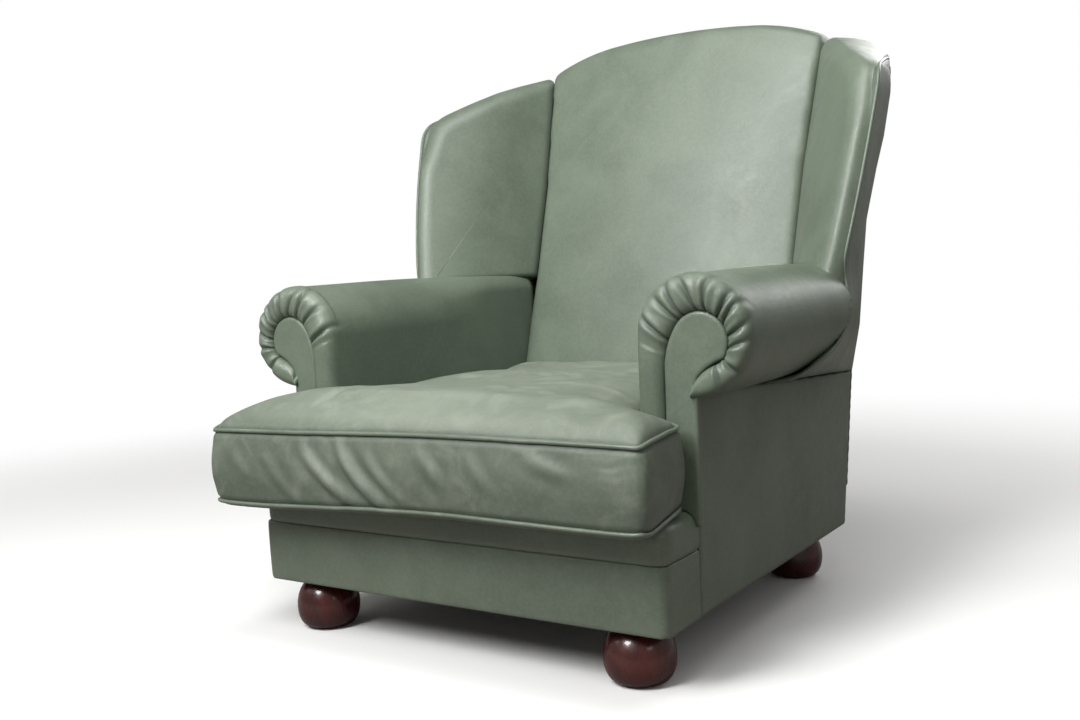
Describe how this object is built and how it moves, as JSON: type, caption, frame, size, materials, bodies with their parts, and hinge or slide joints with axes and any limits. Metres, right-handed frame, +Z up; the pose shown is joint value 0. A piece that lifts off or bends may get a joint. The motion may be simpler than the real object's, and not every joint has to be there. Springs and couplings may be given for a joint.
{
  "type": "wingback armchair",
  "caption": "Upholstered leather wingback armchair with scroll arms, splayed wings, a loose T shaped seat cushion and bun feet.",
  "frame": {"origin": "on the floor under the middle of the chair, at the bottom centre of its bounding box", "axes": "+Z up, +Y from the front of the chair to its back, +X across it, to the right of a person who faces the chair"},
  "size_m": [0.9694, 1.0397, 1.0499],
  "materials": {
    "leather": "sage green pigmented hide, semi gloss",
    "cushion_leather": "the same hide, worn on the seat",
    "foot_wood": "dark red brown gloss mahogany",
    "beech": "planed beech, bare",
    "foam": "upholstery foam",
    "webbing": "jute webbing",
    "lining_cloth": "black lining cloth",
    "zinc_steel": "zinc plated steel",
    "zip_metal": "dark nickel",
    "zip_cloth": "woven zip tape",
    "zip_coil": "nylon coil"
  },
  "bodies": {
    "chair": {"arm_facing_left": "leather", "arm_facing_right": "leather", "arm_pad_left": "leather", "arm_pad_right": "leather", "arm_post_left": "beech", "arm_post_right": "beech", "arm_tack_rail_left": "beech", "arm_tack_rail_right": "beech", "arm_top_rail_left": "beech", "arm_top_rail_right": "beech", "back_post_left": "beech", "back_post_right": "beech", "back_seat_rail": "beech", "back_tack_rail": "beech", "back_top_rail": "beech", "back_webbing": "webbing", "corner_blocks": "beech", "deck_cloth": "lining_cloth", "deck_pad": "foam", "dust_cloth": "lining_cloth", "foot_bolts": "zinc_steel", "foot_plates": "zinc_steel", "front_border": "leather", "front_foot_left": "foot_wood", "front_foot_right": "foot_wood", "front_lip": "leather", "front_seat_rail": "beech", "inside_back": "leather", "inside_wing_left": "leather", "inside_wing_right": "leather", "outside_arm_left": "leather", "outside_arm_right": "leather", "outside_back": "leather", "outside_wing_left": "leather", "outside_wing_right": "leather", "rear_foot_left": "foot_wood", "rear_foot_right": "foot_wood", "seat_webbing": "webbing", "side_seat_rail_left": "beech", "side_seat_rail_right": "beech", "wing_piping_left": "leather", "wing_piping_right": "leather", "wing_post_left": "beech", "wing_post_right": "beech", "wing_top_rail_left": "beech", "wing_top_rail_right": "beech"},
    "seat_cushion": {"seat_cushion_cover": "cushion_leather", "seat_cushion_core": "foam", "cushion_piping_top": "cushion_leather", "cushion_piping_bottom": "cushion_leather", "zip_tape": "zip_cloth", "zip_chain": "zip_coil"},
    "zip_slider": {"zip_slider": "zip_metal"}
  },
  "joints": [
    {"name": "cushion_lift", "type": "slide", "parent": "chair", "child": "seat_cushion", "axis": [0, 0, 1], "range_m": [0, 0.45]},
    {"name": "zip_slide", "type": "slide", "parent": "seat_cushion", "child": "zip_slider", "axis": [1, 0, 0], "range_m": [0, 0.405]}
  ]
}
